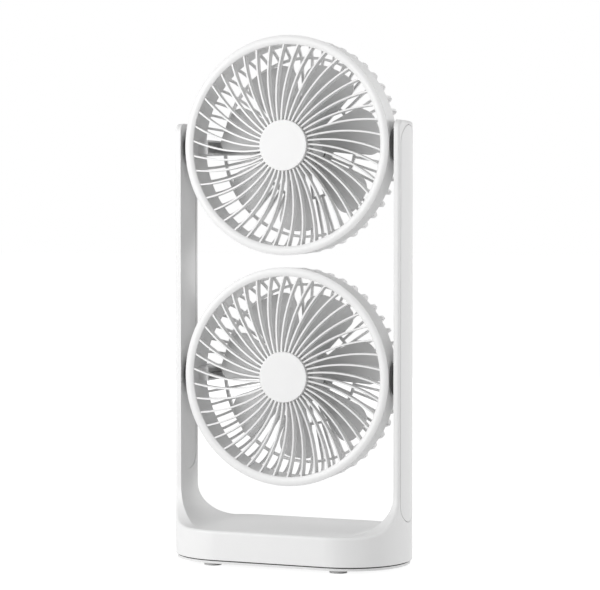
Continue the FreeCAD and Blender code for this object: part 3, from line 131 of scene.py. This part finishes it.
def makeDrawnMetal():
    # streaks drawn out along one way, with a little tarnish in the hollows
    group, given, result = startGroup(
        "drawnMetal",
        [("Colour", "NodeSocketColor", (0.6, 0.6, 0.6, 1)),
         ("Tarnish", "NodeSocketColor", (0.4, 0.4, 0.4, 1)),
         ("Roughness", "NodeSocketFloat", 0.35), ("Spread", "NodeSocketFloat", 0.2),
         ("Stretch", "NodeSocketVector", (3000, 200, 3000))],
        [("Colour", "NodeSocketColor"), ("Roughness", "NodeSocketFloat"), ("Height", "NodeSocketFloat")])
    link = group.links.new
    where = addNode(group, "ShaderNodeTexCoord", (-900, -300))
    drawn = addNode(group, "ShaderNodeVectorMath", (-700, -100), operation="MULTIPLY")
    streaks = addNoise(group, (-500, -100), metalNoise["streaks"])
    stains = addNoise(group, (-500, 200), metalNoise["stains"])
    mix = addNode(group, "ShaderNodeMix", (-200, 200), data_type="RGBA")
    rough = addNode(group, "ShaderNodeMath", (-200, -100), operation="MULTIPLY_ADD")
    link(where.outputs["Object"], drawn.inputs[0])
    link(given.outputs["Stretch"], drawn.inputs[1])
    link(drawn.outputs[0], streaks.inputs["Vector"])
    link(where.outputs["Object"], stains.inputs["Vector"])
    link(stains.outputs["Fac"], mix.inputs["Factor"])
    link(given.outputs["Colour"], mix.inputs["A"])
    link(given.outputs["Tarnish"], mix.inputs["B"])
    link(streaks.outputs["Fac"], rough.inputs[0])
    link(given.outputs["Spread"], rough.inputs[1])
    link(given.outputs["Roughness"], rough.inputs[2])
    link(mix.outputs["Result"], result.inputs["Colour"])
    link(rough.outputs[0], result.inputs["Roughness"])
    link(streaks.outputs["Fac"], result.inputs["Height"])
    return group


def makeBands():
    # round strands side by side: turns of wire or the sheets of a stack
    group, given, result = startGroup(
        "bands",
        [("Colour", "NodeSocketColor", (0.6, 0.3, 0.1, 1)),
         ("Between", "NodeSocketColor", (0.2, 0.1, 0.05, 1)),
         ("Scale", "NodeSocketFloat", 700)],
        [("Colour", "NodeSocketColor"), ("Height", "NodeSocketFloat")])
    link = group.links.new
    where = addNode(group, "ShaderNodeTexCoord", (-900, -100))
    wave = addNode(group, "ShaderNodeTexWave", (-600, 0), bands_direction="Y")
    mix = addNode(group, "ShaderNodeMix", (-200, 200), data_type="RGBA")
    link(where.outputs["Object"], wave.inputs["Vector"])
    link(given.outputs["Scale"], wave.inputs["Scale"])
    link(wave.outputs["Fac"], mix.inputs["Factor"])
    link(given.outputs["Between"], mix.inputs["A"])
    link(given.outputs["Colour"], mix.inputs["B"])
    link(mix.outputs["Result"], result.inputs["Colour"])
    link(wave.outputs["Fac"], result.inputs["Height"])
    return group


traceLine = {"width": 0.06, "smooth": 0.2}


def makeTraces():
    # lines of copper that show through the mask of a circuit board
    group, given, result = startGroup(
        "traces",
        [("Mask", "NodeSocketColor", (0.01, 0.1, 0.03, 1)),
         ("Trace", "NodeSocketColor", (0.03, 0.2, 0.07, 1)),
         ("Scale", "NodeSocketFloat", 300)],
        [("Colour", "NodeSocketColor"), ("Height", "NodeSocketFloat")])
    link = group.links.new
    where = addNode(group, "ShaderNodeTexCoord", (-900, -100))
    lines = addNode(group, "ShaderNodeTexBrick", (-600, 0))
    lines.inputs["Mortar Size"].default_value = traceLine["width"]
    lines.inputs["Mortar Smooth"].default_value = traceLine["smooth"]
    link(where.outputs["Object"], lines.inputs["Vector"])
    link(given.outputs["Scale"], lines.inputs["Scale"])
    for brick in ("Color1", "Color2"):
        link(given.outputs["Mask"], lines.inputs[brick])
    link(given.outputs["Trace"], lines.inputs["Mortar"])
    link(lines.outputs["Color"], result.inputs["Colour"])
    link(lines.outputs["Fac"], result.inputs["Height"])
    return group


def makePaintedGapShade():
    # painted shade: above a level the colour gives way to a dark that stands in for the shade of a
    # narrow gap
    group, given, result = startGroup(
        "paintedGapShade",
        [("Colour", "NodeSocketColor", (0.8, 0.8, 0.8, 1)),
         ("Dark", "NodeSocketColor", (0.05, 0.05, 0.05, 1)),
         ("Level", "NodeSocketFloat", 0.004)],
        [("Colour", "NodeSocketColor")])
    link = group.links.new
    where = addNode(group, "ShaderNodeTexCoord", (-900, -100))
    axes = addNode(group, "ShaderNodeSeparateXYZ", (-700, -100))
    above = addNode(group, "ShaderNodeMath", (-500, -100), operation="GREATER_THAN")
    mix = addNode(group, "ShaderNodeMix", (-200, 200), data_type="RGBA")
    link(where.outputs["Object"], axes.inputs[0])
    link(axes.outputs["Z"], above.inputs[0])
    link(given.outputs["Level"], above.inputs[1])
    link(above.outputs[0], mix.inputs["Factor"])
    link(given.outputs["Colour"], mix.inputs["A"])
    link(given.outputs["Dark"], mix.inputs["B"])
    link(mix.outputs["Result"], result.inputs["Colour"])
    return group


mouldedSkin = makeMouldedSkin()
drawnMetal = makeDrawnMetal()
bands = makeBands()
traces = makeTraces()
paintedGapShade = makePaintedGapShade()
print("shared effects made")

bevelSamples = 6


def finish(tree, shader, height, look):
    # relief over softened edges, and the constants of the shader
    bump = addNode(tree, "ShaderNodeBump", (-300, -200))
    bump.inputs["Strength"].default_value = look["bump"]
    bump.inputs["Distance"].default_value = look["depth"]
    tree.links.new(height, bump.inputs["Height"])
    if "soft" in look:
        edges = addNode(tree, "ShaderNodeBevel", (-500, -350), samples=bevelSamples)
        edges.inputs["Radius"].default_value = look["soft"]
        tree.links.new(edges.outputs["Normal"], bump.inputs["Normal"])
    tree.links.new(bump.outputs["Normal"], shader.inputs["Normal"])
    shader.inputs["Metallic"].default_value = look.get("metallic", 0)
    shader.inputs["Coat Weight"].default_value = look.get("coat", 0)


def addSkin(tree, look):
    skin = addNode(tree, "ShaderNodeGroup", (-700, 100), node_tree=mouldedSkin)
    skin.inputs["Colour"].default_value = (*look["colour"], 1)
    skin.inputs["Shade"].default_value = (*look["shade"], 1)
    skin.inputs["Roughness"].default_value = look["roughness"]
    skin.inputs["Polish"].default_value = look["polish"]
    skin.inputs["Grain Scale"].default_value = look["grain"]
    return skin


def makeMoulding(name, look):
    material, tree, shader = startMaterial(name)
    skin = addSkin(tree, look)
    tree.links.new(skin.outputs["Colour"], shader.inputs["Base Color"])
    tree.links.new(skin.outputs["Roughness"], shader.inputs["Roughness"])
    finish(tree, shader, skin.outputs["Height"], look)
    return material


def makePlate(name, look):
    material, tree, shader = startMaterial(name)
    skin = addSkin(tree, look)
    # painted shade: the plate is darkened above a level as the shade in the gap under the base's shell
    gap = addNode(tree, "ShaderNodeGroup", (-400, 200), node_tree=paintedGapShade)
    gap.inputs["Dark"].default_value = (*look["dark"], 1)
    gap.inputs["Level"].default_value = look["level"]
    tree.links.new(skin.outputs["Colour"], gap.inputs["Colour"])
    tree.links.new(gap.outputs["Colour"], shader.inputs["Base Color"])
    tree.links.new(skin.outputs["Roughness"], shader.inputs["Roughness"])
    finish(tree, shader, skin.outputs["Height"], look)
    return material


def makeMetal(name, look):
    material, tree, shader = startMaterial(name)
    metal = addNode(tree, "ShaderNodeGroup", (-700, 100), node_tree=drawnMetal)
    metal.inputs["Colour"].default_value = (*look["colour"], 1)
    metal.inputs["Tarnish"].default_value = (*look["tarnish"], 1)
    metal.inputs["Roughness"].default_value = look["roughness"]
    metal.inputs["Spread"].default_value = look["spread"]
    metal.inputs["Stretch"].default_value = look["stretch"]
    tree.links.new(metal.outputs["Colour"], shader.inputs["Base Color"])
    tree.links.new(metal.outputs["Roughness"], shader.inputs["Roughness"])
    finish(tree, shader, metal.outputs["Height"], look)
    return material


def makeBanded(name, look):
    material, tree, shader = startMaterial(name)
    strands = addNode(tree, "ShaderNodeGroup", (-700, 100), node_tree=bands)
    strands.inputs["Colour"].default_value = (*look["colour"], 1)
    strands.inputs["Between"].default_value = (*look["between"], 1)
    strands.inputs["Scale"].default_value = look["scale"]
    tree.links.new(strands.outputs["Colour"], shader.inputs["Base Color"])
    finish(tree, shader, strands.outputs["Height"], look)
    shader.inputs["Roughness"].default_value = look["roughness"]
    return material


def makeBoard(name, look):
    material, tree, shader = startMaterial(name)
    lines = addNode(tree, "ShaderNodeGroup", (-700, 100), node_tree=traces)
    lines.inputs["Mask"].default_value = (*look["mask"], 1)
    lines.inputs["Trace"].default_value = (*look["trace"], 1)
    lines.inputs["Scale"].default_value = look["scale"]
    tree.links.new(lines.outputs["Colour"], shader.inputs["Base Color"])
    finish(tree, shader, lines.outputs["Height"], look)
    shader.inputs["Roughness"].default_value = look["roughness"]
    return material


def dress(material, *names):
    for name in names:
        for slot in nodes[name].material_slots:
            slot.material = material
    print(f"{material.name}: {len(names)} nodes")


def onHeads(*names):
    return [f"{level}_{name}" for level in levels for name in names]


# white mouldings
satinWhite = {
    "colour": (0.84, 0.84, 0.838), "shade": (0.82, 0.82, 0.82), "roughness": 0.42,
    "polish": 0.08, "grain": 2400, "bump": 0.12, "depth": 0.0001, "soft": 0.0003,
}
dress(makeMoulding("satinWhite", satinWhite), "u_frame", "left_arm_cover", "right_arm_cover",
      "speed_button", "pivot_bushes", *onHeads("front_grille", "hub_cap", "rear_cage"))

# the bottom plate, painted dark above the level as the shade in the gap under the base's shell
plateWhite = {
    "colour": (0.8, 0.8, 0.798), "shade": (0.77, 0.77, 0.77), "roughness": 0.5, "polish": 0.1,
    "grain": 2000, "bump": 0.15, "depth": 0.0001, "dark": (0.06, 0.06, 0.06), "level": 0.00405,
}
dress(makePlate("plateWhite", plateWhite), "bottom_plate")

# painted shade: the blades take a darker copy of the white, standing in for the shade inside the cage
bladePaintedShade = {
    "colour": (0.62, 0.62, 0.62), "shade": (0.59, 0.59, 0.59), "roughness": 0.36,
    "polish": 0.08, "grain": 2000, "bump": 0.08, "depth": 0.0001, "soft": 0.0002,
}
dress(makeMoulding("bladePaintedShade", bladePaintedShade), *onHeads("impeller"))

# grey, dark and soft pieces
greyMoulding = {
    "colour": (0.30, 0.30, 0.30), "shade": (0.26, 0.26, 0.26), "roughness": 0.5, "polish": 0.1,
    "grain": 2200, "bump": 0.15, "depth": 0.0001,
}
dress(makeMoulding("greyMoulding", greyMoulding), *onHeads("pivot_pins", "motor_base"))

darkMoulding = {
    "colour": (0.02, 0.02, 0.021), "shade": (0.03, 0.03, 0.03), "roughness": 0.5,
    "polish": 0.1, "grain": 2600, "bump": 0.15, "depth": 0.0001,
}
dress(makeMoulding("darkMoulding", darkMoulding), "button_switch", "switch_plunger")

# dark rubber washers; their dark also stands in for the shade in the narrow gap between head and arm
frictionRubberGapShade = {
    "colour": (0.13, 0.13, 0.132), "shade": (0.17, 0.17, 0.17), "roughness": 0.7,
    "polish": 0.15, "grain": 1500, "bump": 0.35, "depth": 0.0002,
}
dress(makeMoulding("frictionRubberGapShade", frictionRubberGapShade), *onHeads("friction_washers"))

footRubber = {
    "colour": (0.64, 0.64, 0.635), "shade": (0.57, 0.57, 0.57), "roughness": 0.8,
    "polish": 0.12, "grain": 1100, "bump": 0.4, "depth": 0.0002,
}
dress(makeMoulding("footRubber", footRubber), "rubber_feet")

wireJacket = {
    "colour": (0.2, 0.2, 0.2), "shade": (0.25, 0.25, 0.25), "roughness": 0.4, "polish": 0.1,
    "grain": 900, "bump": 0.15, "depth": 0.0001, "coat": 0.2,
}
dress(makeMoulding("wireJacket", wireJacket), "battery_leads", "upper_fan_wire", "lower_fan_wire",
      *onHeads("motor_leads"))

# metal pieces
turnedSteel = {
    "colour": (0.58, 0.58, 0.6), "tarnish": (0.45, 0.45, 0.46), "roughness": 0.22,
    "spread": 0.25, "stretch": (900, 6000, 900), "bump": 0.1, "depth": 0.0001, "metallic": 1,
}
dress(makeMetal("turnedSteel", turnedSteel), "bottom_screws", "board_screws",
      *onHeads("motor_screws", "motor_shaft", "shaft_clip"))

drawnSteel = {
    "colour": (0.62, 0.62, 0.63), "tarnish": (0.5, 0.5, 0.51), "roughness": 0.25,
    "spread": 0.2, "stretch": (4000, 250, 4000), "bump": 0.12, "depth": 0.0001, "metallic": 1,
}
dress(makeMetal("drawnSteel", drawnSteel), "charging_socket", *onHeads("rotor_yoke"))

sheetStack = {
    "colour": (0.5, 0.5, 0.52), "between": (0.16, 0.16, 0.17), "scale": 620, "roughness": 0.42,
    "bump": 0.5, "depth": 0.0001, "metallic": 1,
}
dress(makeBanded("sheetStack", sheetStack), *onHeads("stator_core"))

enamelledCopper = {
    "colour": (0.62, 0.22, 0.07), "between": (0.2, 0.06, 0.02), "scale": 780, "roughness": 0.3,
    "bump": 0.8, "depth": 0.0002, "metallic": 1, "coat": 0.5,
}
dress(makeBanded("enamelledCopper", enamelledCopper), *onHeads("stator_windings"))

sinteredBronze = {
    "colour": (0.5, 0.33, 0.16), "shade": (0.36, 0.23, 0.11), "roughness": 0.5, "polish": 0.25,
    "grain": 3000, "bump": 0.4, "depth": 0.0001, "metallic": 1,
}
dress(makeMoulding("sinteredBronze", sinteredBronze), *onHeads("motor_bearings"))

darkMagnet = {
    "colour": (0.03, 0.03, 0.032), "shade": (0.05, 0.05, 0.05), "roughness": 0.55,
    "polish": 0.15, "grain": 2600, "bump": 0.25, "depth": 0.0001,
}
dress(makeMoulding("darkMagnet", darkMagnet), *onHeads("rotor_magnet"))

# electrical pieces
batteryFoil = {
    "colour": (0.6, 0.61, 0.63), "shade": (0.5, 0.51, 0.53), "roughness": 0.38, "polish": 0.3,
    "grain": 260, "bump": 0.4, "depth": 0.0004, "metallic": 1,
}
dress(makeMoulding("batteryFoil", batteryFoil), "battery_pack")

boardGreen = {
    "mask": (0.01, 0.09, 0.03), "trace": (0.03, 0.2, 0.07), "scale": 90, "roughness": 0.32,
    "bump": 0.3, "depth": 0.0001, "coat": 0.3,
}
dress(makeBoard("boardGreen", boardGreen), "control_board", *onHeads("motor_board"))
print("nodes dressed")

# floor and light
floorSetup = {"size": 30, "colour": 0.72, "glow": 0.915, "keep": 0.25}
lampSetup = {
    "key": {"place": (-0.98, -1.39, 0.5), "size": 0.95, "power": 21.5, "mirrored": True},
    "right": {"place": (1.58, 0.36, 0.42), "size": 0.7, "power": 11, "mirrored": True},
    "back": {"place": (-0.9, 1.5, 0.16), "size": 0.9, "power": 7, "mirrored": False},
}
lampAim = Vector((0, 0, 0.18))
skyStrength = 0.37


def seenDirectly(tree, place):
    # 1 where the ray comes from the camera, a mirror-like face or a clear one
    path = addNode(tree, "ShaderNodeLightPath", place)
    first = addNode(tree, "ShaderNodeMath", (place[0] + 200, place[1]), operation="MAXIMUM")
    second = addNode(tree, "ShaderNodeMath", (place[0] + 400, place[1]), operation="MAXIMUM")
    tree.links.new(path.outputs["Is Camera Ray"], first.inputs[0])
    tree.links.new(path.outputs["Is Glossy Ray"], first.inputs[1])
    tree.links.new(first.outputs[0], second.inputs[0])
    tree.links.new(path.outputs["Is Transmission Ray"], second.inputs[1])
    return second.outputs[0]


def makeFloor(setup):
    bpy.ops.object.select_all(action="DESELECT")
    bpy.ops.mesh.primitive_plane_add(size=setup["size"], location=(0, 0, 0))
    floor = bpy.context.object
    floor.name = "floor"
    material, tree, shader = startMaterial("paleFloor")
    tree.nodes.remove(shader)
    output = tree.nodes["Material Output"]
    bounce = addNode(tree, "ShaderNodeBsdfDiffuse", (-300, 200))
    bounce.inputs["Color"].default_value = (setup["colour"],) * 3 + (1,)
    shadow = addNode(tree, "ShaderNodeBsdfDiffuse", (-500, 0))
    shadow.inputs["Color"].default_value = (setup["keep"],) * 3 + (1,)
    glow = addNode(tree, "ShaderNodeEmission", (-500, -150))
    glow.inputs["Strength"].default_value = setup["glow"]
    shown = addNode(tree, "ShaderNodeAddShader", (-300, -50))
    pick = addNode(tree, "ShaderNodeMixShader", (-50, 100))
    tree.links.new(seenDirectly(tree, (-900, 300)), pick.inputs["Fac"])
    tree.links.new(bounce.outputs[0], pick.inputs[1])
    tree.links.new(shadow.outputs[0], shown.inputs[0])
    tree.links.new(glow.outputs[0], shown.inputs[1])
    tree.links.new(shown.outputs[0], pick.inputs[2])
    tree.links.new(pick.outputs[0], output.inputs["Surface"])
    floor.data.materials.append(material)


def makeSky(strength):
    world = bpy.data.worlds.new("studio")
    bpy.context.scene.world = world
    world.use_nodes = True
    tree = world.node_tree
    back = tree.nodes["Background"]
    back.inputs["Color"].default_value = (1, 1, 1, 1)
    level = addNode(tree, "ShaderNodeMapRange", (-200, 0))
    level.inputs["To Min"].default_value = strength
    level.inputs["To Max"].default_value = 1
    tree.links.new(seenDirectly(tree, (-900, 0)), level.inputs["Value"])
    tree.links.new(level.outputs["Result"], back.inputs["Strength"])


def makeLamp(name, setup):
    data = bpy.data.lights.new(f"{name}Lamp", "AREA")
    data.size = setup["size"]
    data.energy = setup["power"]
    lamp = bpy.data.objects.new(f"{name}Lamp", data)
    lamp.location = setup["place"]
    lamp.visible_glossy = setup["mirrored"]
    lamp.rotation_euler = (lampAim - Vector(setup["place"])).to_track_quat("-Z", "Y").to_euler()
    bpy.context.scene.collection.objects.link(lamp)


makeFloor(floorSetup)
makeSky(skyStrength)
for lampName, lamp in lampSetup.items():
    makeLamp(lampName, lamp)
print("floor and light set")
